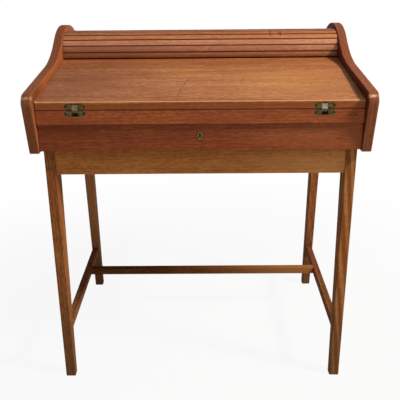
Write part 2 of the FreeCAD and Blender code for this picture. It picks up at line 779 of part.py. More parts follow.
def make_keyhole_plate(place):
    """The plate round the keyhole, with a round head and a flared foot."""
    half = size.plate_width / 2
    wide = half + size.plate_flare
    top = drawer_low + size.keyhole_lift + size.plate_drop
    low = top - size.plate_height
    outline = rounded([
        (-wide, low, 0),
        (-half, low + size.plate_foot, 0),
        (-half, top, half),
        (half, top, half),
        (half, low + size.plate_foot, 0),
        (wide, low, 0),
    ])
    blank = profile("keyhole_plate_blank", outline, place, "plate_thickness", "XZ_Plane")
    keep(cut("keyhole_plate", blank, [keyhole("plate_keyhole", place, "plate_thickness")]))


def make_lock():
    """The lock case behind the drawer front, its bolt, and the kicker rail that takes the bolt."""
    bolt_y = f"({DRAWER_BACK} + (lock_depth - bolt_depth) / 2)"
    bolt_low = f"({DRAWER_TOP} - bolt_play - bolt_length)"
    room = ("-bolt_width / 2 - bolt_play", f"{bolt_y} - bolt_play")
    room_size = ("bolt_width + 2 * bolt_play", "bolt_depth + 2 * bolt_play")
    case = block(
        "lock_case_blank",
        ("-lock_width / 2", DRAWER_BACK, f"{DRAWER_TOP} - lock_height"),
        ("lock_width", "lock_depth", "lock_height"),
    )
    pocket = block(
        "lock_pocket",
        (*room, f"{bolt_low} - bolt_play"),
        (*room_size, "bolt_length + 2 * bolt_play + overrun"),
    )
    keep(cut("lock_case", case, [pocket]))
    keep(block(
        "lock_bolt",
        ("-bolt_width / 2", bolt_y, bolt_low),
        ("bolt_width", "bolt_depth", "bolt_length"),
    ))
    near = front + size.rail_depth
    far = near + size.kicker_depth
    low = drawer_top + size.kicker_gap
    kicker = profile(
        "kicker_blank",
        rounded([
            (near, low, 0),
            (near, board_top(near) - size.board_thickness, 0),
            (far, board_top(far) - size.board_thickness, 0),
            (far, low, 0),
        ]),
        *INSIDE,
    )
    mortise = block(
        "bolt_mortise",
        (*room, f"{DRAWER_TOP} + kicker_gap - overrun"),
        (*room_size, "bolt_throw + overrun"),
    )
    keep(cut("kicker_rail", kicker, [mortise]))


def check():
    """Stop before anything is written if an object failed or a piece isn't a sound solid."""
    doc.recompute()
    for thing in doc.Objects:
        if "Invalid" in thing.State or "Error" in thing.State:
            raise RuntimeError(f"{thing.Label} failed: {thing.State}")
    for node in nodes:
        if node.Shape.isNull() or not node.Shape.isValid() or not node.Shape.Solids:
            raise RuntimeError(f"{node.Label} is not a sound solid")


make_cheeks()
make_legs()
make_aprons()
make_side_rails()
make_case()
make_top_rail()
make_pigeonholes()
make_roll()
make_writing_surface()
make_drawer()
make_lock()
check()
os.makedirs("parts", exist_ok=True)
for node in nodes:
    node.Shape.exportStep(os.path.join("parts", f"{node.Label}.step"))
print(f"{len(nodes)} pieces written")
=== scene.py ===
import json
import logging
import math
from dataclasses import dataclass, replace
from enum import Enum
from typing import Any, Iterable

import bpy
import numpy as np
from mathutils import Matrix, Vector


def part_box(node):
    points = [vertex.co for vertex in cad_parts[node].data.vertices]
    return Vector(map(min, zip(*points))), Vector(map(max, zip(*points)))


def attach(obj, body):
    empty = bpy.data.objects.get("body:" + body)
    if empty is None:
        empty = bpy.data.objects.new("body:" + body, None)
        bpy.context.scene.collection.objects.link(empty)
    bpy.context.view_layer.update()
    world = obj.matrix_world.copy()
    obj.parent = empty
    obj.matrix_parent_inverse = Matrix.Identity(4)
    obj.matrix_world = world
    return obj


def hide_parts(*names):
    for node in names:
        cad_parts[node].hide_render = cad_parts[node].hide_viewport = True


# Looks of a teak cylinder desk. Sizes are millimetres in its frame: X to the right, Y to the back, Z up.

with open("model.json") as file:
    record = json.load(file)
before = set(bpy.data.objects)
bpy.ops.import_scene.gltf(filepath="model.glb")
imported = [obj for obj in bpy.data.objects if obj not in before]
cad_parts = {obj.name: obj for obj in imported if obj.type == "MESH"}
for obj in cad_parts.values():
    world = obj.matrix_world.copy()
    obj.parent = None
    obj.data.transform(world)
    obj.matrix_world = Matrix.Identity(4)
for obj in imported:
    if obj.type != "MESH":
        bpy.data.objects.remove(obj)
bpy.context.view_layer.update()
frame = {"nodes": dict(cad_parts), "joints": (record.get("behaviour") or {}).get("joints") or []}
LOG = logging.getLogger("cylinder_desk")
MM = 0.001
SIDES = {"left": -1, "right": 1}

Triple = tuple[float, float, float]


def to_micron(length: float) -> float:
    """Metres as millimetres, rounded to a micron."""
    return round(length / MM, 3)


def joint_place(name: str) -> Triple:
    """Place of one of the frame's hinge joints."""
    joint = next(joint for joint in frame["joints"] if joint["name"] == name)
    return tuple(to_micron(length) for length in joint["pos_m"])


# Places that the marks and the new pieces are set out from
FRONT_FACE = to_micron(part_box("front_rail")[0].y)
DRAWER_FACE = to_micron(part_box("drawer_front")[0].y)
APRON_FACE = to_micron(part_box("apron_front")[0].y)
INNER_HALF = to_micron(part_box("front_rail")[1].x)
OUTER_HALF = to_micron(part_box("cheek_right")[1].x)
FOLD_HEIGHT = joint_place("flap_fold")[2]
HINGE_HALF = joint_place("link_right_turn")[0]
ROLL_AXIS = joint_place("roll_turn")[1:]
# Reach of a mark that goes past both ends of any piece.
ENDLESS = 5000.0

# Numbers of sockets whose names repeat in their node: of a colour mix, of a vector mix and of a range map.
SHARE, FIRST, SECOND = 0, 6, 7
FIRST_PLACE, SECOND_PLACE = 4, 5
LOW, HIGH, TO_LOW, TO_HIGH = 1, 2, 3, 4
# A wave texture repeats every 0.314 units of its scaled coordinate, so a scale follows from a real spacing.
WAVE_PERIOD = 0.314


# Tools

def linear(colour: str) -> tuple[float, float, float, float]:
    """Turn an sRGB hex value into linear light.

    Args:
        colour: Six hex digits after a hash sign.

    Returns:
        Red, green, blue and an alpha of one.
    """
    srgb = np.array([int(colour[start:start + 2], 16) for start in (1, 3, 5)]) / 255
    values = np.where(srgb <= 0.04045, srgb / 12.92, ((srgb + 0.055) / 1.055) ** 2.4)
    return (*values.tolist(), 1.0)


def metres(lengths: Iterable[float]) -> tuple[float, ...]:
    """Millimetres as metres."""
    return tuple(length * MM for length in lengths)


def waves(lengths: Iterable[float]) -> tuple[float, ...]:
    """Waves in a metre for wave lengths in millimetres."""
    return tuple(1.0 / (length * MM) for length in lengths)


def add_node(tree: bpy.types.NodeTree, kind: str, inputs: dict[int | str, Any] | None = None,
             **settings: Any) -> bpy.types.Node:
    """Add a node with its settings, constants and links.

    Args:
        tree: Node tree that gets the node.
        kind: The node's type without its common prefix.
        inputs: For each input, by name or number, a constant, a source socket or a source node.
        settings: Properties of the node itself.

    Returns:
        The new node.
    """
    node = tree.nodes.new(f"ShaderNode{kind}")
    for name, value in settings.items():
        setattr(node, name, value)
    for key, value in (inputs or {}).items():
        if isinstance(value, bpy.types.Node):
            value = next(socket for socket in value.outputs if socket.enabled)
        if isinstance(value, bpy.types.NodeSocket):
            tree.links.new(value, node.inputs[key])
        else:
            node.inputs[key].default_value = value
    return node


def blank(name: str) -> bpy.types.Material:
    """Make a material with an empty node tree.

    Args:
        name: Name of the finish.

    Returns:
        The material.
    """
    material = bpy.data.materials.new(name)
    material.use_nodes = True
    material.node_tree.nodes.clear()
    return material


# Finishes

class Grain(Enum):
    """Axis that a board's grain runs along, as the turn in degrees that lays it on X."""

    ALONG_X = (0.0, 0.0, 0.0)
    ALONG_Y = (0.0, 0.0, -90.0)
    ALONG_Z = (0.0, 90.0, 0.0)


@dataclass(frozen=True)
class Mark:
    """A stain, a crack, a worn place, painted light or painted shade: an ellipsoid in the desk's frame that
    takes another colour.

    Attributes:
        centre: Its middle.
        reach: Its half sizes.
        colour: Colour that it takes.
        strength: How much of that colour shows in the middle.
        soft: Share of the reach over which it fades.
        wander: How far its outline strays.
        bend: How far its rear end runs aside.
    """

    centre: Triple
    reach: Triple
    colour: str
    strength: float = 0.6
    soft: float = 0.6
    wander: float = 2.0
    bend: float = 0.0


@dataclass(frozen=True)
class Tones:
    """Colours of a timber: the dark, middle and light of its grain, its red blotches and its worn edges."""

    dark: str
    middle: str
    light: str
    red: str
    worn: str


@dataclass(frozen=True)
class Layer:
    """Noise drawn out along the grain, with its length, its width and its weight in the tone."""

    length: float
    width: float
    detail: float
    weight: float = 0.0

    def draw(self, tree: bpy.types.NodeTree, board: bpy.types.Node) -> bpy.types.Node:
        """Draw the layer on a board.

        Args:
            tree: The material's node tree.
            board: Coordinates whose first axis runs along the grain.

        Returns:
            Noise in which one wave has the layer's length and width.
        """
        stretched = add_node(tree, "Mapping", {
            "Vector": board, "Scale": waves((self.length, self.width, self.width)),
        })
        return add_node(tree, "TexNoise", {
            "Vector": stretched, "Scale": 1.0, "Detail": self.detail, "Roughness": 0.55,
        })


# Fibres, flecks and pores are drawn three times as coarse as real ones, so that they show at this distance.
BANDS = Layer(230.0, 16.0, 3.0, 0.6)
FIBRES = Layer(60.0, 3.0, 3.0, 0.7)
FLECKS = Layer(14.0, 4.5, 3.0, 0.9)
PORES = Layer(12.0, 3.0, 2.0)
BLOTCHES = Layer(190.0, 70.0, 2.0)


@dataclass(frozen=True)
class Wood:
    """Oiled or bare timber: bands of growth, fibre lines, pores and worn edges, all along one axis.

    Attributes:
        name: Name of the finish.
        grain: Axis that the grain runs along.
        tones: Its colours.
        ring: Width of a growth ring.
        pith: How far the heart of the log lies off the board, across it and below it.
        figure: Weight of the growth rings in the tone.
        tilt: Small turn of the grain in degrees.
        rough: Roughness of the finish.
        gloss: Level of its reflections.
        wear: How pale rubbed edges are.
        edge: Radius within which an edge is rubbed.
        jitter: Size of the waves in the outlines of its marks.
        depth: Depth of its pores.
        banded_edge: Whether a strip of wood runs round its edge.
        marks: Its stains, cracks and worn places, and its painted light and shade.
        groove: For a roll, the place of its axis to the back and up, and the radius of its grooves' floors.
        groove_shade: Colour of the painted shade in those grooves.
    """

    name: str
    grain: Grain
    tones: Tones
    ring: float = 7.0
    pith: tuple[float, float] = (35.0, 60.0)
    figure: float = 0.25
    tilt: Triple = (0.0, 0.9, 1.3)
    rough: float = 0.5
    gloss: float = 0.1
    wear: float = 0.55
    edge: float = 2.2
    jitter: float = 18.0
    depth: float = 0.25
    banded_edge: bool = False
    marks: tuple[Mark, ...] = ()
    groove: Triple | None = None
    groove_shade: str = "#4a0d0a"

    def material(self, shift: float = 0.0) -> bpy.types.Material:
        """Wire the timber's shader.

        The tone blends three colours. Blotches add red, pores darken, rounded edges are worn, and marks and
        painted shade in a roll's grooves lie over that. Light grain is a little smoother than dark grain, and
        pores are pits.

        Args:
            shift: Distance in millimetres along the log, so that no two boards are alike.

        Returns:
            The material.
        """
        material = blank(f"{self.name}_{shift:g}" if shift else self.name)
        tree = material.node_tree
        place = add_node(tree, "TexCoord").outputs["Object"]
        turn = tuple(math.radians(a + b) for a, b in zip(self.grain.value, self.tilt))
        board = add_node(tree, "Mapping", {
            "Vector": place, "Rotation": turn, "Location": metres((shift * 3.1, shift, shift * 0.7)),
        })
        if self.banded_edge:
            board = self.edge_band(tree, place, board)
        fibres, pores, blotches = (layer.draw(tree, board) for layer in (FIBRES, PORES, BLOTCHES))
        tone, whole = self.tone(tree, board, fibres)
        colour = linear(self.tones.dark)
        for low, high, lighter in ((0.4, 0.5, self.tones.middle), (0.5, 0.6, self.tones.light)):
            share = add_node(tree, "MapRange", {"Value": tone, LOW: low * whole, HIGH: high * whole})
            colour = add_node(tree, "Mix", {SHARE: share, FIRST: colour, SECOND: linear(lighter)},
                              data_type="RGBA")
        warm = add_node(tree, "MapRange", {"Value": blotches, LOW: 0.45, HIGH: 0.7, TO_HIGH: 0.55})
        pit = add_node(tree, "MapRange", {"Value": pores, LOW: 0.54, HIGH: 0.7, TO_HIGH: 0.7})
        for share, other in ((warm, self.tones.red), (pit, self.tones.dark)):
            colour = add_node(tree, "Mix", {SHARE: share, FIRST: colour, SECOND: linear(other)},
                              data_type="RGBA")
        colour = self.worn_edges(tree, colour, fibres)
        colour = self.marked(tree, place, colour)
        if self.groove:
            colour = self.shade_grooves(tree, place, colour)
        rough = add_node(tree, "MapRange", {
            "Value": tone, LOW: 0.3 * whole, HIGH: 0.7 * whole,
            TO_LOW: self.rough + 0.09, TO_HIGH: self.rough - 0.06,
        })
        relief = add_node(tree, "Math", {0: pit, 1: -0.6, 2: fibres}, operation="MULTIPLY_ADD")
        bump = add_node(tree, "Bump", {"Height": relief, "Strength": 0.35, "Distance": self.depth * MM})
        shader = add_node(tree, "BsdfPrincipled", {
            "Base Color": colour, "Roughness": rough, "Normal": bump, "IOR": 1.5,
            "Specular IOR Level": self.gloss,
        })
        add_node(tree, "OutputMaterial", {"Surface": shader})
        return material

    def tone(self, tree: bpy.types.NodeTree, board: bpy.types.Node,
             fibres: bpy.types.Node) -> tuple[bpy.types.Node, float]:
        """Add up the layers of the grain, each times its weight.

        The growth rings are waves round a heart that lies off the board. Their wobble is drawn out tenfold
        along the grain.

        Args:
            tree: The material's node tree.
            board: Coordinates whose first axis runs along the grain.
            fibres: Fibre lines.

        Returns:
            The sum of bands, fibres, flecks and rings, and the sum of their weights.
        """
        log = add_node(tree, "Mapping", {
            "Vector": board, "Location": metres((0.0, *self.pith)), "Scale": (0.1, 1.0, 1.0),
        })
        rings = add_node(tree, "TexWave", {
            "Vector": log, "Scale": WAVE_PERIOD / (self.ring * MM), "Distortion": 5.0, "Detail": 2.0,
            "Detail Scale": 0.6, "Detail Roughness": 0.5,
        }, wave_type="RINGS", rings_direction="X")
        tone = add_node(tree, "Math", {0: BANDS.draw(tree, board), 1: BANDS.weight}, operation="MULTIPLY")
        whole = BANDS.weight
        for layer, weight in (
            (fibres, FIBRES.weight), (FLECKS.draw(tree, board), FLECKS.weight), (rings, self.figure),
        ):
            tone = add_node(tree, "Math", {0: layer, 1: weight, 2: tone}, operation="MULTIPLY_ADD")
            whole += weight
        return tone, whole

    def edge_band(self, tree: bpy.types.NodeTree, place: bpy.types.NodeSocket,
                  board: bpy.types.Node) -> bpy.types.Node:
        """Turn the grain so that it follows the curved edge wherever a face doesn't look sideways.

        Args:
            tree: The material's node tree.
            place: Object coordinates.
            board: Coordinates with the grain of the flat faces.

        Returns:
            Coordinates whose first axis runs round the edge there: Y plus Z grows all the way from toe to
            crown.
        """
        split = add_node(tree, "SeparateXYZ", {0: place})
        run = add_node(tree, "Math", {0: split.outputs["Y"], 1: split.outputs["Z"]}, operation="ADD")
        along = add_node(tree, "CombineXYZ", {0: run, 1: split.outputs["X"]})
        facing = add_node(tree, "SeparateXYZ", {0: add_node(tree, "NewGeometry").outputs["Normal"]})
        side = add_node(tree, "Math", {0: facing.outputs["X"]}, operation="ABSOLUTE")
        flat = add_node(tree, "Math", {0: side, 1: 0.8}, operation="GREATER_THAN")
        return add_node(tree, "Mix", {SHARE: flat, FIRST_PLACE: along, SECOND_PLACE: board},
                        data_type="VECTOR")

    def worn_edges(self, tree: bpy.types.NodeTree, colour: bpy.types.Node,
                   fibres: bpy.types.Node) -> bpy.types.Node:
        """Lighten the edges where hands have rubbed the finish away.

        Args:
            tree: The material's node tree.
            colour: Colour of the flat wood.
            fibres: Fibre lines that break up the wear.

        Returns:
            Colour with worn edges: the more a rounded normal leaves the face's normal, the paler.
        """
        normal = add_node(tree, "NewGeometry").outputs["Normal"]
        rounded = add_node(tree, "Bevel", {"Radius": self.edge * MM}, samples=6)
        match = add_node(tree, "VectorMath", {0: rounded, 1: normal}, operation="DOT_PRODUCT")
        rubbed = add_node(tree, "MapRange", {
            "Value": match.outputs["Value"], LOW: 0.995, HIGH: 0.86, TO_HIGH: self.wear,
        })
        patchy = add_node(tree, "MapRange", {"Value": fibres, LOW: 0.35, HIGH: 0.6, TO_LOW: 0.4})
        amount = add_node(tree, "Math", {0: rubbed, 1: patchy}, operation="MULTIPLY")
        return add_node(tree, "Mix", {SHARE: amount, FIRST: colour, SECOND: linear(self.tones.worn)},
                        data_type="RGBA")

    def marked(self, tree: bpy.types.NodeTree, place: bpy.types.NodeSocket,
               colour: bpy.types.Node) -> bpy.types.Node:
        """Lay the board's own marks over its colour.

        Args:
            tree: The material's node tree.
            place: Object coordinates.
            colour: Colour without marks.

        Returns:
            Colour with every mark: a mark fades as the scaled distance from its centre nears one. A bent one
            leaves its line sideways by the cube of the distance from its front end.
        """
        for mark in self.marks:
            stray = add_node(tree, "TexNoise", {
                "Vector": place, "Scale": 1.0 / (self.jitter * MM), "Detail": 2.0,
            })
            centred = add_node(tree, "VectorMath", {
                0: stray.outputs["Color"], 1: (0.5, 0.5, 0.5),
            }, operation="SUBTRACT")
            # Noise keeps near its middle value, so it is drawn out four times.
            bent = add_node(tree, "VectorMath", {
                0: centred, 1: (mark.wander * MM * 4,) * 3, 2: place,
            }, operation="MULTIPLY_ADD")
            if mark.bend:
                depth = add_node(tree, "SeparateXYZ", {0: place}).outputs["Y"]
                run = add_node(tree, "MapRange", {
                    "Value": depth, LOW: (mark.centre[1] - mark.reach[1]) * MM,
                    HIGH: (mark.centre[1] + mark.reach[1]) * MM,
                })
                cube = add_node(tree, "Math", {0: run, 1: 3.0}, operation="POWER")
                aside = add_node(tree, "CombineXYZ", {
                    0: add_node(tree, "Math", {0: cube, 1: mark.bend * MM}, operation="MULTIPLY"),
                })
                bent = add_node(tree, "VectorMath", {0: bent, 1: aside}, operation="SUBTRACT")
            scaled = add_node(tree, "Mapping", {
                "Vector": bent, "Scale": waves(mark.reach),
                "Location": tuple(-middle / reach for middle, reach in zip(mark.centre, mark.reach)),
            })
            length = add_node(tree, "VectorMath", {0: scaled}, operation="LENGTH").outputs["Value"]
            amount = add_node(tree, "MapRange", {
                "Value": length, LOW: 1.0, HIGH: 1.0 - mark.soft, TO_HIGH: mark.strength,
            }, interpolation_type="SMOOTHSTEP")
            colour = add_node(tree, "Mix", {SHARE: amount, FIRST: colour, SECOND: linear(mark.colour)},
                              data_type="RGBA")
        return colour

    def shade_grooves(self, tree: bpy.types.NodeTree, place: bpy.types.NodeSocket,
               colour: bpy.types.Node) -> bpy.types.Node:
        """Darken what lies deep in the grooves of a roll: painted shade between the slats.

        Args:
            tree: The material's node tree.
            place: Object coordinates.
            colour: Colour of clean slats.

        Returns:
            Colour that darkens as the distance from the roll's axis falls to the depth of the grooves.
        """
        back, up, floor = self.groove
        arm = add_node(tree, "VectorMath", {0: place, 1: metres((0.0, back, up))}, operation="SUBTRACT")
        across = add_node(tree, "VectorMath", {0: arm, 1: (0.0, 1.0, 1.0)}, operation="MULTIPLY")
        radius = add_node(tree, "VectorMath", {0: across}, operation="LENGTH").outputs["Value"]
        amount = add_node(tree, "MapRange", {
            "Value": radius, LOW: (floor + 0.5) * MM, HIGH: (floor + 0.2) * MM, TO_HIGH: 0.95,
        }, interpolation_type="SMOOTHSTEP")
        return add_node(tree, "Mix", {SHARE: amount, FIRST: colour, SECOND: linear(self.groove_shade)},
                        data_type="RGBA")


@dataclass(frozen=True)
class Metal:
    """A metal dulled by age: a bare tone, a tarnished tone, and fine scratches.

    Scratches are drawn ten times as wide as real ones, so that they show.

    Attributes:
        name: Name of the finish.
        bare: Colour where hands keep it bright.
        tarnish: Colour where it has dulled.
        rough: Roughness.
        patch: Size of a tarnished patch.
        scratch: Size of a scratch along X, Y and Z.
        painted_shade_below: Height of the desk below which painted shade covers the metal.
        shade_colour: Colour of that painted shade.
        seam: Half of the height over which the painted shade begins.
    """

    name: str
    bare: str
    tarnish: str
    rough: float
    patch: float = 5.0
    scratch: Triple = (8.0, 1.1, 1.1)
    painted_shade_below: float | None = None
    shade_colour: str = "#585040"
    seam: float = 0.6

    def material(self) -> bpy.types.Material:
        """Wire the metal's shader: patches mix the two tones, and scratches stir roughness and bump.

        Returns:
            The material.
        """
        material = blank(self.name)
        tree = material.node_tree
        place = add_node(tree, "TexCoord").outputs["Object"]
        patches = add_node(tree, "TexNoise", {
            "Vector": place, "Scale": 1.0 / (self.patch * MM), "Detail": 4.0, "Roughness": 0.6,
        })
        lines = add_node(tree, "Mapping", {"Vector": place, "Scale": waves(self.scratch)})
        scratches = add_node(tree, "TexNoise", {"Vector": lines, "Scale": 1.0, "Detail": 2.0})
        aged = add_node(tree, "MapRange", {"Value": patches, LOW: 0.38, HIGH: 0.64})
        colour = add_node(tree, "Mix", {SHARE: aged, FIRST: linear(self.bare), SECOND: linear(self.tarnish)},
                          data_type="RGBA")
        # Painted shade over the metal below a given height
        if self.painted_shade_below is not None:
            height = add_node(tree, "SeparateXYZ", {0: place}).outputs["Z"]
            shade_share = add_node(tree, "MapRange", {
                "Value": height, LOW: (self.painted_shade_below + self.seam) * MM,
                HIGH: (self.painted_shade_below - self.seam) * MM, TO_HIGH: 0.85,
            })
            colour = add_node(tree, "Mix", {SHARE: shade_share, FIRST: colour, SECOND: linear(self.shade_colour)},
                              data_type="RGBA")
        rough = add_node(tree, "MapRange", {
            "Value": scratches, LOW: 0.3, HIGH: 0.7, TO_LOW: self.rough - 0.08, TO_HIGH: self.rough + 0.12,
        })
        bump = add_node(tree, "Bump", {"Height": scratches, "Strength": 0.25, "Distance": 0.05 * MM})
        shader = add_node(tree, "BsdfPrincipled", {
            "Base Color": colour, "Roughness": rough, "Normal": bump, "Metallic": 1.0,
        })
        add_node(tree, "OutputMaterial", {"Surface": shader})
        return material


@dataclass(frozen=True)
class Canvas:
    """Plain-woven cotton canvas: matt and greyish tan, with raised threads that cross at right angles.

    Its threads are drawn twice as coarse as real ones, so that they show.

    Attributes:
        name: Name of the finish.
        thread: Colour of the raised threads.
        shade: Colour between them.
        spacing: Distance between threads.
        dirt: Size of a dirty patch.
    """

    name: str = "cotton_canvas"
    thread: str = "#8a7a60"
    shade: str = "#5c503d"
    spacing: float = 1.2
    dirt: float = 33.0

    def material(self) -> bpy.types.Material:
        """Wire the cloth's shader: the product of two thread waves on the cloth's own UV map.

        Returns:
            The material.
        """
        material = blank(self.name)
        tree = material.node_tree
        place = add_node(tree, "TexCoord").outputs["UV"]
        warp, weft = (
            add_node(tree, "TexWave", {
                "Vector": place, "Scale": WAVE_PERIOD / (self.spacing * MM), "Distortion": 0.4,
            }, wave_type="BANDS", bands_direction=axis)
            for axis in ("X", "Y")
        )
        weave = add_node(tree, "Math", {0: warp, 1: weft}, operation="MULTIPLY")
        dirt = add_node(tree, "TexNoise", {"Vector": place, "Scale": 1.0 / (self.dirt * MM), "Detail": 3.0})
        share = add_node(tree, "Math", {0: weave, 1: dirt}, operation="MULTIPLY")
        colour = add_node(tree, "Mix", {SHARE: share, FIRST: linear(self.shade), SECOND: linear(self.thread)},
                          data_type="RGBA")
        rough = add_node(tree, "MapRange", {"Value": dirt, LOW: 0.3, HIGH: 0.7, TO_LOW: 0.85, TO_HIGH: 0.97})
        bump = add_node(tree, "Bump", {"Height": weave, "Strength": 0.6, "Distance": 0.2 * MM})
        shader = add_node(tree, "BsdfPrincipled", {
            "Base Color": colour, "Roughness": rough, "Normal": bump, "Sheen Weight": 0.2,
        })
        add_node(tree, "OutputMaterial", {"Surface": shader})
        return material


# Colours of the timbers, from the sunned flap to the bare wood inside the case
FLAP_TEAK = Tones("#8a522e", "#ad6c40", "#c98957", "#a45f38", "#e0a06a")
SLAT_TEAK = Tones("#935634", "#ab683e", "#ba7a4c", "#9e583a", "#cc9062")
# Copies of the slats' teak: browner as painted shade low on the roll, rosier as a painted sheen higher up
SHADED_SLAT_TEAK = Tones("#804722", "#9a5a2e", "#ac6e3e", "#8e4c28", "#c08454")
SHEEN_SLAT_TEAK = Tones("#a66844", "#bf7c50", "#cd9062", "#b26c4c", "#d8a078")
RAIL_TEAK = Tones("#884626", "#a05530", "#b2673e", "#944628", "#cf8a58")
DEEP_TEAK = Tones("#763a1e", "#8c4728", "#9f5834", "#823d22", "#b5764a")
GOLDEN_TEAK = Tones("#a86530", "#c57e40", "#d69250", "#b36e30", "#e2ac6c")
LEG_TEAK = Tones("#764422", "#985d32", "#ae7544", "#8a4e2a", "#c48a5a")
SIDE_TEAK = Tones("#663a20", "#82502f", "#956640", "#764228", "#b07a4e")
# Teak of the cross stretcher, darkened as painted shade
SHADED_CROSS_TEAK = Tones("#4e2912", "#6a3d1e", "#7c4e2a", "#60341a", "#a06a40")
CHEEK_TEAK = Tones("#77432b", "#8c5437", "#9d6644", "#854a30", "#c88856")
BEECH = Tones("#a07a50", "#b48d61", "#c4a074", "#ac8256", "#d6bb94")

# Marks that several boards share: painted shade in the joints along the fold and at the board ends, and in
# the hinge recesses
END_INSET, RECESS_DEPTH, RECESS_RISE = 0.5, 4.0, 7.0
FOLD_SHADE_LINE = Mark((0.0, FRONT_FACE, FOLD_HEIGHT), (ENDLESS, 5.0, 1.8), "#4a1410", 0.85, 0.5, 0.0)
END_SHADE_LINES = tuple(
    Mark((sign * (INNER_HALF - END_INSET), FRONT_FACE, FOLD_HEIGHT), (2.6, 14.0, 160.0), "#3c100d",
         0.85, 0.6, 0.0)
    for sign in SIDES.values()
)
HINGE_SHADE = tuple(
    Mark((sign * HINGE_HALF, FRONT_FACE + RECESS_DEPTH, FOLD_HEIGHT + up * RECESS_RISE), (13.0, 14.0, 9.5),
         "#0b0504", 0.97, 0.1, 0.0)
    for sign in SIDES.values() for up in (-1, 1)
)


# Ways to dress solids and to build new pieces

def dress(names: Iterable[str], material: bpy.types.Material) -> None:
    """Give solids of the frame a finish.

    Args:
        names: Nodes of the frame.
        material: The finish.
    """
    for name in names:
        solid = frame["nodes"][name]
        if not solid.material_slots:
            solid.data.materials.append(material)
        solid.material_slots[0].material = material
        LOG.info("%s: %s", name, material.name)


def sided(*stems: str) -> list[str]:
    """Left and right node of each stem."""
    return [f"{stem}_{side}" for stem in stems for side in SIDES]


def surface(name: str, points: np.ndarray, material: bpy.types.Material,
            uv: np.ndarray | None = None) -> bpy.types.Object:
    """Make a piece from a grid of points that closes on itself round its second axis.

    Args:
        name: Name of the piece.
        points: Millimetres, as an array of rows, columns and three axes; the columns form closed loops.
        material: The piece's finish.
        uv: Optional map in metres for each point of the grid.

    Returns:
        The piece, at the origin, with its first and last loop closed by a face.
    """
    rows, columns = points.shape[:2]
    index = np.arange(rows * columns).reshape(rows, columns)
    after = np.roll(index, -1, axis=1)
    quads = np.stack([index[:-1], after[:-1], after[1:], index[1:]], axis=-1).reshape(-1, 4)
    caps = [index[0, ::-1].tolist(), index[-1].tolist()]
    mesh = bpy.data.meshes.new(name)
    mesh.from_pydata((points.reshape(-1, 3) * MM).tolist(), [], quads.tolist() + caps)
    if uv is not None:
        layer = mesh.uv_layers.new(name="cloth")
        corners = np.zeros(len(mesh.loops), dtype=np.int32)
        mesh.loops.foreach_get("vertex_index", corners)
        layer.data.foreach_set("uv", uv.reshape(-1, 2)[corners].ravel())
    mesh.materials.append(material)
    mesh.validate()
    piece = bpy.data.objects.new(name, mesh)
    bpy.context.scene.collection.objects.link(piece)
    LOG.info("%s: %s", name, material.name)
    return piece


# Sub-assemblies

@dataclass
class Cheeks:
    """The two S-shaped sides."""

    nose_height: float = 761.0
    nose_depth: float = 13.0
    edge_inset: float = 1.5
    log_step: float = 410.0

    def dress(self) -> None:
        """Give the cheeks grain along their depth, a band round the edge, painted shade and a rubbed nose
        with a painted highlight.
        """
        nose = FRONT_FACE - self.nose_depth
        # Per side: strength of the nose's painted highlight, and inner face colour, darker on the right as
        # painted shade
        for number, (side, rubbed, inner) in enumerate(zip(SIDES, (0.5, 0.95), ("#a05c34", "#6c3420"))):
            sign = SIDES[side]
            outer_edge = sign * (OUTER_HALF - self.edge_inset)
            inner_edge = sign * (INNER_HALF + self.edge_inset)
            middle = sign * (INNER_HALF + OUTER_HALF) / 2
            marks = (
                # Inner faces, the right one darker as painted shade, and darker still towards the front
                Mark((sign * INNER_HALF, 0.0, 770.0), (3.0, 900.0, 900.0), inner, 0.85, 0.4, 0.5),
                Mark((sign * INNER_HALF, -225.0, 760.0), (3.0, 90.0, 60.0), "#5a2a14", 0.6, 0.9, 0.5),
                # Edges of the nose, rubbed pale, and its middle, the palest: rubbed, with a painted highlight
                Mark((outer_edge, nose, self.nose_height), (4, 12, 8), "#d08a4a", 0.7, 0.9, 1.0),
                Mark((inner_edge, nose, self.nose_height), (4, 12, 8), "#dc9a66", 0.7, 0.9, 1.0),
                Mark((middle, nose - 1, self.nose_height), (13, 10, 5), "#ecd6c2", rubbed, 0.9, 1.0),
            )
            # Oiled teak that hands and sleeves have dulled: brown with hardly any shine.
            wood = Wood("oiled_teak_cheek", Grain.ALONG_Y, CHEEK_TEAK, banded_edge=True, figure=0.1, ring=9.0,
                        wear=0.4, rough=0.6, gloss=0.04, marks=marks)
            dress([f"cheek_{side}"], wood.material(number * self.log_step))


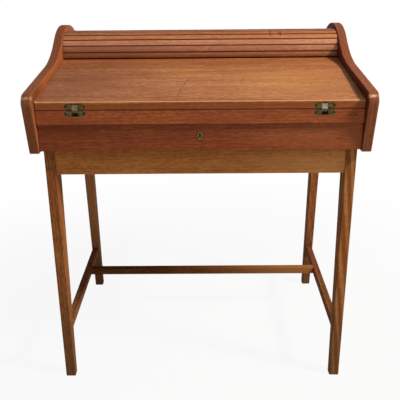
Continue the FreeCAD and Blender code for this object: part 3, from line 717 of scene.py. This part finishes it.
@dataclass
class LegFrame:
    """Legs, aprons, side rails and stretchers."""

    dust_height: float = 330.0
    leg_step: float = 310.0
    side_step: float = 230.0
    rear_shift: float = 520.0
    cross_shift: float = 90.0

    def dress(self) -> None:
        """Give each member its boards."""
        self.dress_legs()
        self.dress_aprons()
        self.dress_stretchers()

    def dress_legs(self) -> None:
        """Give every leg a board of its own."""
        dust = Mark((0.0, 0.0, 20.0), (ENDLESS, ENDLESS, self.dust_height), "#5c4330", 0.6, 0.95, 3.0)
        # Oiled teak with straight grain: matt brown, greyer towards the floor.
        leg = Wood("oiled_teak_leg", Grain.ALONG_Z, LEG_TEAK, figure=0.2, ring=6.0, pith=(20.0, 34.0),
                   tilt=(0.0, 1.6, 0.8), wear=0.4, rough=0.6, gloss=0.015, marks=(dust,))
        # The right front leg is sawn askew through the rings, which show as broad flames.
        figured = replace(leg, name="oiled_teak_figured_leg", figure=0.9, ring=13.0, tilt=(0.0, 4.0, 0.8),
                          tones=replace(LEG_TEAK, dark="#84502a", light="#b87e4c"))
        # The left rear leg is of paler wood above the dust.
        pale = Mark((-352.5, 258.0, 500.0), (90.0, 90.0, 600.0), "#c58b5c", 0.5, 0.6, 3.0)
        paler = replace(leg, name="oiled_teak_pale_leg", marks=(dust, pale))
        woods = {"leg_front_right": figured, "leg_rear_left": paler}
        for number, name in enumerate(sided("leg_front", "leg_rear")):
            dress([name], woods.get(name, leg).material(self.leg_step * number))

    def dress_aprons(self) -> None:
        """Give the aprons golden wood, darker along the top as painted shade, with three small dark spots."""
        marks = (
            Mark((270.0, APRON_FACE, 592.0), (220.0, 30.0, 60.0), "#e9ac6f", 0.36, 0.95, 6.0),
            # Painted shade along the top, under the overhanging drawer front
            Mark((0.0, APRON_FACE, 632.0), (ENDLESS, 30.0, 46.0), "#5e3410", 0.42, 0.95, 3.0),
            *(Mark((x, APRON_FACE, z), (reach, 30.0, reach), "#3a1c08", 0.75, 0.6, 0.5)
              for x, z, reach in ((-293.0, 618.0, 3.0), (-293.0, 610.0, 2.4), (303.0, 611.5, 2.8))),
        )
        # Oiled teak in the shade of the case: yellow-brown with a soft shine.
        apron = Wood("golden_teak_apron", Grain.ALONG_X, GOLDEN_TEAK, figure=0.1, marks=marks)
        dress(["apron_front"], apron.material())
        dress(["apron_rear"], apron.material(self.rear_shift))

    def dress_stretchers(self) -> None:
        """Give the side rails the legs' wood, and the stretchers darker wood, on the cross stretcher as
        painted shade.
        """
        shift = 0.0
        for stem, tones in (("side_rail", LEG_TEAK), ("side_stretcher", SIDE_TEAK)):
            # Oiled teak, dry and matt, brown like the legs or a little darker.
            side = Wood(f"oiled_teak_{stem}", Grain.ALONG_Y, tones, figure=0.15, rough=0.6, gloss=0.015)
            for name in sided(stem):
                dress([name], side.material(shift))
                shift += self.side_step
        unshaded_right = Mark((340.0, 0.0, 0.0), (350.0, ENDLESS, ENDLESS), "#b87c48", 0.65, 0.95, 3.0)
        # Oiled teak, dry and matt, with painted shade: dark on the left, brightening to the legs' brown on
        # the right.
        cross = Wood("oiled_teak_cross", Grain.ALONG_X, SHADED_CROSS_TEAK, figure=0.15, rough=0.6, gloss=0.015,
                     marks=(unshaded_right,))
        dress(["cross_stretcher"], cross.material(self.cross_shift))


@dataclass
class Case:
    """Fixed boards between the cheeks."""

    knot: Triple = (338.0, FRONT_FACE, 716.0)
    board_step: float = 350.0

    def dress(self) -> None:
        """Give shown boards teak, and boards inside the case bare beech."""
        knot = (
            Mark(self.knot, (15.0, 5.0, 6.5), "#5e2812", 0.6, 0.6, 1.5),
            Mark(self.knot, (7.0, 5.0, 2.8), "#a55c38", 0.7, 0.6, 0.8),
        )
        # Oiled teak: red-brown with a soft shine and a ringed knot at its right end.
        rail = Wood("oiled_teak_rail", Grain.ALONG_X, RAIL_TEAK, figure=0.1,
                    marks=(*knot, FOLD_SHADE_LINE, *END_SHADE_LINES, *HINGE_SHADE))
        dress(["front_rail"], rail.material())
        # Oiled teak, plain-sawn: middle brown with quiet grain.
        board = Wood("oiled_teak_board", Grain.ALONG_X, SLAT_TEAK, figure=0.1)
        for number, name in enumerate(("writing_board", "top_rail", "case_back", "false_back"), start=1):
            dress([name], board.material(self.board_step * number))
        upright = replace(board, name="oiled_teak_partition", grain=Grain.ALONG_Y)
        dress(["partition_1", "partition_2"], upright.material())
        # Planed beech without finish: pale, matt and faintly flecked.
        inner = Wood("bare_beech_rail", Grain.ALONG_X, BEECH, rough=0.62)
        dress(["kicker_rail", "case_bottom"], inner.material())
        runner = replace(inner, name="bare_beech_runner", grain=Grain.ALONG_Y)
        dress(sided("drawer_runner"), runner.material())


@dataclass
class Roll:
    """The roll of slats with the cloth that backs it."""

    slats: int = 8
    groove_radius: float = 56.75
    slat_step: float = 170.0
    start: float = -24.07
    sweep: float = 137.2
    outer: float = 48.95
    thickness: float = 0.6
    dip: float = 0.1
    half_width: float = 364.5
    rows: int = 97
    columns: int = 33

    def dress(self) -> None:
        """Give every slat its own strip of wood, with painted shade and sheen and the stains that run over
        two of them.
        """
        stains = tuple(
            Mark((x, 112.0, 850.0), (reach, 28.0, 14.0), "#5a2013", strength, 0.7, 0.6)
            for x, reach, strength in ((188.5, 2.3, 0.95), (215.0, 3.8, 0.8), (209.0, 1.8, 0.6))
        )
        # Painted shade on the lower left of the roll, and a painted shadow along its lowest edge, above the
        # flap
        shade_left_of_roll = Mark((-260.0, 80.0, 815.0), (330.0, 90.0, 90.0), "#7a4122", 0.6, 0.9, 5.0)
        shade_under_roll = Mark((0.0, 77.0, 788.0), (ENDLESS, 14.0, 4.5), "#1c0605", 0.95, 0.4, 0.0)
        strips = (
            (SHADED_SLAT_TEAK, 0.3, (shade_under_roll,)), (SHADED_SLAT_TEAK, 0.3, (shade_left_of_roll, shade_under_roll)), (SLAT_TEAK, 0.5, (shade_left_of_roll,)),
            (SHEEN_SLAT_TEAK, 0.6, stains), (SHEEN_SLAT_TEAK, 0.15, stains),
        )
        hidden = (SLAT_TEAK, 0.12, stains)
        for number, name in enumerate(self.names()):
            tones, gloss, marks = strips[number] if number < len(strips) else hidden
            # Oiled teak, moulded: satin strips, brown below as painted shade and rosy above as a painted
            # sheen, with dark grooves between them, deepened by painted shade.
            wood = Wood("oiled_teak_slat", Grain.ALONG_X, tones, figure=0.1, wear=0.0, rough=0.45,
                        gloss=gloss, groove=(*ROLL_AXIS, self.groove_radius), marks=marks)
            dress([name], wood.material(self.slat_step * (number + 1)))
        self.build_cloth()

    def names(self) -> list[str]:
        """The roll's solids from the lead rail upwards."""
        return ["lead_rail"] + [f"slat_{number}" for number in range(1, self.slats)]

    def build_cloth(self) -> None:
        """Make the canvas: a thin closed band on an arc about the roll's axis.

        Each row of the grid is one angle, whose loop runs across the outer face and back across the inner
        one. Between the slats the cloth sinks inwards by a tenth of a millimetre, in a cosine wave.
        """
        angle = np.radians(np.linspace(self.start, self.start + self.sweep, self.rows))[:, None]
        across = np.linspace(-self.half_width, self.half_width, self.columns)
        x = np.concatenate([across, across[::-1]])[None, :] + 0 * angle
        inside = np.repeat([0.0, self.thickness], across.size)[None, :]
        wave = np.cos(np.linspace(0, 2 * np.pi * self.slats, self.rows))[:, None]
        radius = self.outer - inside - self.dip / 2 * (1 - wave)
        back, up = ROLL_AXIS
        points = np.stack([x, back - radius * np.cos(angle), up + radius * np.sin(angle)], axis=-1)
        uv = np.stack([x * MM, angle * self.outer * MM + 0 * x], axis=-1)
        cloth = surface("roll_canvas", points, Canvas().material(), uv)
        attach(cloth, "roll")
        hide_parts("backing_cloth")


@dataclass
class Flap:
    """The folding writing leaf."""

    edge_height: float = 738.0
    arris_height: float = 749.0

    def dress(self) -> None:
        """Give the flap broad, faded boards, painted light and shade, a crack, dark spots and a chipped
        corner.
        """
        marks = (
            # Paler fields, on the right and in the middle, and darker ones, left and rear: faded and darkened
            # wood, with painted light on the right and painted shade on the left
            Mark((210.0, -110.0, 767.0), (250.0, 160.0, 60.0), "#e3a059", 0.35, 0.95, 8.0),
            Mark((-25.0, -60.0, 772.0), (120.0, 40.0, 40.0), "#d0984e", 0.32, 0.95, 8.0),
            Mark((-310.0, -60.0, 772.0), (260.0, 280.0, 90.0), "#602700", 0.33, 0.95, 8.0),
            Mark((60.0, 60.0, 786.0), (380.0, 30.0, 30.0), "#8f5226", 0.25, 0.95, 8.0),
            # Front edge: dark on its face, rubbed bright along its arris
            Mark((0.0, FRONT_FACE - 1.0, self.edge_height), (ENDLESS, 3.0, 12.0), "#8c4722", 0.75, 0.5, 0.0),
            Mark((0.0, FRONT_FACE, self.arris_height), (ENDLESS, 2.4, 2.2), "#e6a772", 0.85, 0.6, 0.5),
            FOLD_SHADE_LINE, *END_SHADE_LINES, *HINGE_SHADE,
            # Bright streaks along the grain
            Mark((-25.0, -143.0, 762.6), (75.0, 4.0, 10.0), "#d28c52", 0.5, 0.9, 1.5),
            Mark((-25.0, -35.0, 775.6), (45.0, 5.0, 10.0), "#d28c52", 0.5, 0.9, 1.5),
            Mark((95.0, -13.0, 778.3), (70.0, 5.0, 10.0), "#cc8848", 0.4, 0.9, 1.5),
            # The long crack in the middle and two short ones beside it
            Mark((-49.0, -165.0, 760.0), (1.4, 120.0, 34.0), "#5c2a14", 0.7, 0.6, 2.4, 51.0),
            Mark((98.5, -113.0, 766.0), (1.4, 34.0, 20.0), "#63321a", 0.6, 0.6, 1.0, 16.0),
            Mark((55.0, -68.0, 772.0), (1.2, 24.0, 20.0), "#74421f", 0.5, 0.6, 1.0, 8.0),
            # Dark spots
            Mark((261.0, -144.0, 763.0), (2.0, 8.0, 6.0), "#5f3016", 0.6, 0.7, 1.0),
            Mark((156.0, 2.0, 780.0), (1.6, 4.0, 6.0), "#5f3016", 0.6, 0.6, 0.5),
            Mark((37.0, 60.0, 787.0), (15.0, 4.0, 6.0), "#6a3818", 0.55, 0.8, 1.0),
            # Chips at the left corner and in the front edge
            Mark((-362.0, -249.0, 749.0), (4.0, 5.0, 4.0), "#d6b596", 0.8, 0.5, 1.0),
            Mark((-130.0, -252.5, 748.5), (16.0, 3.0, 2.0), "#cfa57d", 0.6, 0.8, 1.0),
        )
        # Oiled teak, worn by writing and sun: satin orange-tan with fine flecks and pale, rubbed edges.
        wood = Wood("oiled_teak_flap", Grain.ALONG_X, FLAP_TEAK, figure=0.12, ring=12.0, pith=(40.0, 90.0),
                    wear=0.75, marks=marks)
        dress(["flap"], wood.material())


@dataclass
class Drawer:
    """The drawer with its keyhole plate and lock."""

    keyhole_height: float = 668.3
    keyhole_depth: float = 3.0
    face_shift: float = 640.0
    back_shift: float = 200.0
    side_shift: float = 400.0

    def dress(self) -> None:
        """Give the front deep red teak, the box bare beech, and the fittings their metals."""
        marks = (
            # Lighter towards the right, darker towards the left, and a short streak near the right end
            Mark((270.0, DRAWER_FACE, 660.0), (230.0, 30.0, 60.0), "#b76d40", 0.3, 0.95, 8.0),
            Mark((-310.0, DRAWER_FACE, 665.0), (220.0, 30.0, 70.0), "#5f2a0d", 0.3, 0.95, 8.0),
            Mark((313.0, DRAWER_FACE, 660.0), (12.0, 30.0, 1.8), "#5a240d", 0.75, 0.6, 0.6),
            # Painted shade inside the keyhole
            Mark((0.0, DRAWER_FACE + self.keyhole_depth, self.keyhole_height), (4.6, 6.5, 10.0), "#070403",
                 0.98, 0.1, 0.0),
            *END_SHADE_LINES,
        )
        # Oiled teak: deep red-brown with a soft shine.
        front = Wood("oiled_teak_drawer", Grain.ALONG_X, DEEP_TEAK, figure=0.1, marks=marks)
        dress(["drawer_front"], front.material(self.face_shift))
        # Planed beech without finish: pale, matt and faintly flecked.
        back = Wood("bare_beech_back", Grain.ALONG_X, BEECH, rough=0.62)
        dress(["drawer_back", "drawer_bottom"], back.material(self.back_shift))
        side = replace(back, name="bare_beech_side", grain=Grain.ALONG_Y)
        dress(sided("drawer_side"), side.material(self.side_shift))
        # Stamped brass, long unpolished: dull gold with brown patches.
        dress(["keyhole_plate"], Metal("aged_brass_plate", "#77653c", "#524324", 0.45).material())
        # Sheet steel, nearly black as painted shade, so that the keyhole stays dark.
        dress(["lock_case"], Metal("shade_black_steel_lock", "#1d1b19", "#0c0b0a", 0.6).material())
        # Bare steel, filed: grey with a dull shine.
        dress(["lock_bolt"], Metal("dull_steel_bolt", "#8f8b84", "#5d5851", 0.5).material())


@dataclass
class LinkHinges:
    """Brass leaves, steel links and the slotted screws that hold the leaves.

    The slot's half width, its wall and the last slice are shares of a screw's radius.
    """

    spread: float = 19.8
    rise: float = 8.2
    radius: float = 2.6
    dome: float = 0.25
    sink: float = 1.6
    rim: float = 0.05
    slot_half: float = 0.16
    slot_wall: float = 0.96
    slot_depth: float = 0.9
    slot_turn: float = 35.0
    last_slice: float = 0.999
    wing_slices: int = 11
    slice_points: int = 15

    def dress(self) -> None:
        """Give leaves and links their metals, and add the screws."""
        # Stamped brass, long unpolished: olive brown with a faint shine.
        brass = Metal("aged_brass_leaf", "#625030", "#382b16", 0.5).material()
        dress(sided("hinge_leaf_upper", "hinge_leaf_lower"), brass)
        for side, bare, tarnish in zip(SIDES, ("#7d6d50", "#8a8575"), ("#544730", "#5a5548")):
            # Bare steel: light and worn above, grey below the fold with painted shade.
            steel = Metal(f"dull_steel_link_{side}", bare, tarnish, 0.42, painted_shade_below=FOLD_HEIGHT)
            dress([f"hinge_link_{side}"], steel.material())
        self.build_screws()

    def build_screws(self) -> None:
        """Put a screw in each end of each leaf."""
        # Turned brass, dirty in its slot: dark brown dots on the leaves.
        brass = Metal("dull_brass_screw", "#2e2616", "#171209", 0.55).material()
        for half, up, body in (("upper", 1, "flap"), ("lower", -1, "carcass")):
            for side, sign in SIDES.items():
                for hand, way in SIDES.items():
                    head = self.screw(sign * HINGE_HALF + way * self.spread, FOLD_HEIGHT + up * self.rise,
                                      self.slot_turn * (sign + way * up))
                    piece = surface(f"hinge_screw_{half}_{side}_{hand}", head, brass)
                    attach(piece, body)

    def screw(self, x: float, z: float, turn: float) -> np.ndarray:
        """Shape a countersunk, slotted screw head.

        The head is cut in slices across its slot. Each slice is a closed loop: out along the domed face,
        whose depth falls inside the slot, and back along the countersink, which is deepest in the middle.

        Args:
            x: Place along the desk's width.
            z: Height of the head's middle.
            turn: Angle of the slot in degrees.

        Returns:
            Grid of slices and points round each slice.
        """
        wing = np.linspace(self.slot_half, self.last_slice, self.wing_slices)
        lip = np.array([self.slot_half * self.slot_wall])
        slices = np.concatenate([-wing[::-1], -lip, lip, wing])[:, None]
        run = np.linspace(-1, 1, self.slice_points)
        along = np.concatenate([run, run[::-1]])[None, :] * np.sqrt(1 - slices ** 2)
        face = np.repeat([1.0, 0.0], run.size)[None, :]
        inner = np.clip(1 - along ** 2 - slices ** 2, 0, 1)
        slot = self.slot_depth * (np.abs(slices) < self.slot_half)
        depth = face * (self.dome * inner - slot) - (1 - face) * (self.sink * np.sqrt(inner) + self.rim)
        angle = math.radians(turn)
        across = slices + 0 * along
        return np.stack([
            x + self.radius * (along * math.cos(angle) - across * math.sin(angle)),
            FRONT_FACE - depth,
            z + self.radius * (along * math.sin(angle) + across * math.cos(angle)),
        ], axis=-1)


# Studio

@dataclass(frozen=True)
class Lamp:
    """A square lamp: its place and its width in metres, its power in watts and the colour of its light."""

    name: str
    place: Triple
    width: float
    power: float
    colour: str


@dataclass
class Studio:
    """White floor and backdrop, soft lamps and the camera.

    Lengths of the floor and the lamps are metres, the camera's place is millimetres, and turns are degrees.
    """

    floor_half: float = 6.0
    floor_drop: float = 0.0002
    shadow_reach: float = 0.5
    shadow_end: float = 1.6
    sky_strength: float = 0.12
    lamp_aim: Triple = (0.0, -0.05, 0.7)
    key: Lamp = Lamp("key", (2.6, -1.0, 2.75), 0.5, 133.0, "#fff6ea")
    fill: Lamp = Lamp("fill", (0.9, -3.4, 1.5), 1.6, 17.0, "#fff8f0")
    focal_pixels: float = 611.03
    frame_pixels: float = 400.0
    sensor: float = 36.0
    camera_place: Triple = (10.12, -1577.4, 1055.07)
    pitch: float = 22.2
    yaw: float = 0.49
    roll: float = -0.55

    def build(self) -> None:
        """Make floor, world, lamps and camera."""
        self.build_floor()
        self.build_world()
        for lamp in (self.key, self.fill):
            self.hang(lamp)
        self.build_camera()
        bpy.context.scene.view_settings.view_transform = "Standard"

    def seen(self, tree: bpy.types.NodeTree) -> bpy.types.Node:
        """One for rays that show the background: those of the camera, of gloss and of glass.

        Args:
            tree: Node tree that asks.

        Returns:
            Node that gives one or zero.
        """
        path = add_node(tree, "LightPath")
        either = add_node(tree, "Math", {
            0: path.outputs["Is Camera Ray"], 1: path.outputs["Is Glossy Ray"],
        }, operation="MAXIMUM")
        return add_node(tree, "Math", {
            0: either, 1: path.outputs["Is Transmission Ray"],
        }, operation="MAXIMUM")

    def build_floor(self) -> None:
        """Lay a white floor that keeps a part of the desk's shadow."""
        half = self.floor_half
        corners = np.array([[-half, -half, 0], [half, -half, 0], [half, half, 0], [-half, half, 0]])
        mesh = bpy.data.meshes.new("studio_floor")
        mesh.from_pydata((corners - [0, 0, self.floor_drop]).tolist(), [], [[0, 1, 2, 3]])
        # Studio paper: plain white, matt, with a faint shadow near the desk that fades into the backdrop.
        material = blank("white_paper_floor")
        tree = material.node_tree
        place = add_node(tree, "TexCoord").outputs["Object"]
        reach = add_node(tree, "VectorMath", {0: place}, operation="LENGTH").outputs["Value"]
        glowing = add_node(tree, "MapRange", {
            "Value": reach, LOW: self.shadow_reach, HIGH: self.shadow_end, TO_LOW: 0.92,
        }, interpolation_type="SMOOTHSTEP")
        share = add_node(tree, "Math", {0: self.seen(tree), 1: glowing}, operation="MULTIPLY")
        paper = add_node(tree, "BsdfDiffuse", {"Color": linear("#cdcdcd")})
        glow = add_node(tree, "Emission", {"Color": linear("#ffffff"), "Strength": 1.0})
        add_node(tree, "OutputMaterial", {
            "Surface": add_node(tree, "MixShader", {0: share, 1: paper, 2: glow}),
        })
        mesh.materials.append(material)
        floor = bpy.data.objects.new("studio_floor", mesh)
        bpy.context.scene.collection.objects.link(floor)

    def build_world(self) -> None:
        """Show white behind the desk, and light it with an even grey sky."""
        world = bpy.data.worlds.new("studio_sky")
        bpy.context.scene.world = world
        world.use_nodes = True
        tree = world.node_tree
        tree.nodes.clear()
        sky = add_node(tree, "Background", {"Color": linear("#f4f4f6"), "Strength": self.sky_strength})
        white = add_node(tree, "Background", {"Color": linear("#ffffff"), "Strength": 1.0})
        add_node(tree, "OutputWorld", {
            "Surface": add_node(tree, "MixShader", {0: self.seen(tree), 1: sky, 2: white}),
        })

    def hang(self, lamp: Lamp) -> None:
        """Hang a lamp that looks at the desk.

        Args:
            lamp: The lamp.
        """
        light = bpy.data.lights.new(lamp.name, "AREA")
        light.size = lamp.width
        light.energy = lamp.power
        light.color = linear(lamp.colour)[:3]
        away = np.array(lamp.place) - np.array(self.lamp_aim)
        away /= np.linalg.norm(away)
        side = np.cross([0.0, 0.0, 1.0], away)
        side /= np.linalg.norm(side)
        turn = np.stack([side, np.cross(away, side), away], axis=1)
        holder = bpy.data.objects.new(lamp.name, light)
        holder.matrix_world = Matrix.Translation(lamp.place) @ Matrix(turn.tolist()).to_4x4()
        bpy.context.scene.collection.objects.link(holder)

    def build_camera(self) -> None:
        """Set up the camera of the photograph: pitched down, hardly turned, and rolled by half a degree."""
        pitch, yaw, roll = (math.radians(angle) for angle in (self.pitch, self.yaw, self.roll))
        right = np.array([math.cos(yaw), math.sin(yaw), 0.0])
        level = np.array([-math.sin(yaw), math.cos(yaw), 0.0])
        up = np.array([0.0, 0.0, 1.0])
        ahead = level * math.cos(pitch) - up * math.sin(pitch)
        above = level * math.sin(pitch) + up * math.cos(pitch)
        turn = np.stack([
            right * math.cos(roll) + above * math.sin(roll),
            above * math.cos(roll) - right * math.sin(roll),
            -ahead,
        ], axis=1)
        lens = bpy.data.cameras.new("camera")
        lens.sensor_width = self.sensor
        lens.lens = self.focal_pixels / self.frame_pixels * self.sensor
        camera = bpy.data.objects.new("camera", lens)
        camera.matrix_world = Matrix.Translation(metres(self.camera_place)) @ Matrix(turn.tolist()).to_4x4()
        bpy.context.scene.collection.objects.link(camera)
        bpy.context.scene.camera = camera


def main() -> None:
    """Dress each sub-assembly, then build the studio."""
    logging.basicConfig(level=logging.INFO, format="%(message)s")
    for assembly in (Cheeks(), LegFrame(), Case(), Roll(), Flap(), Drawer(), LinkHinges()):
        assembly.dress()
    Studio().build()


if __name__ == "__main__":
    main()
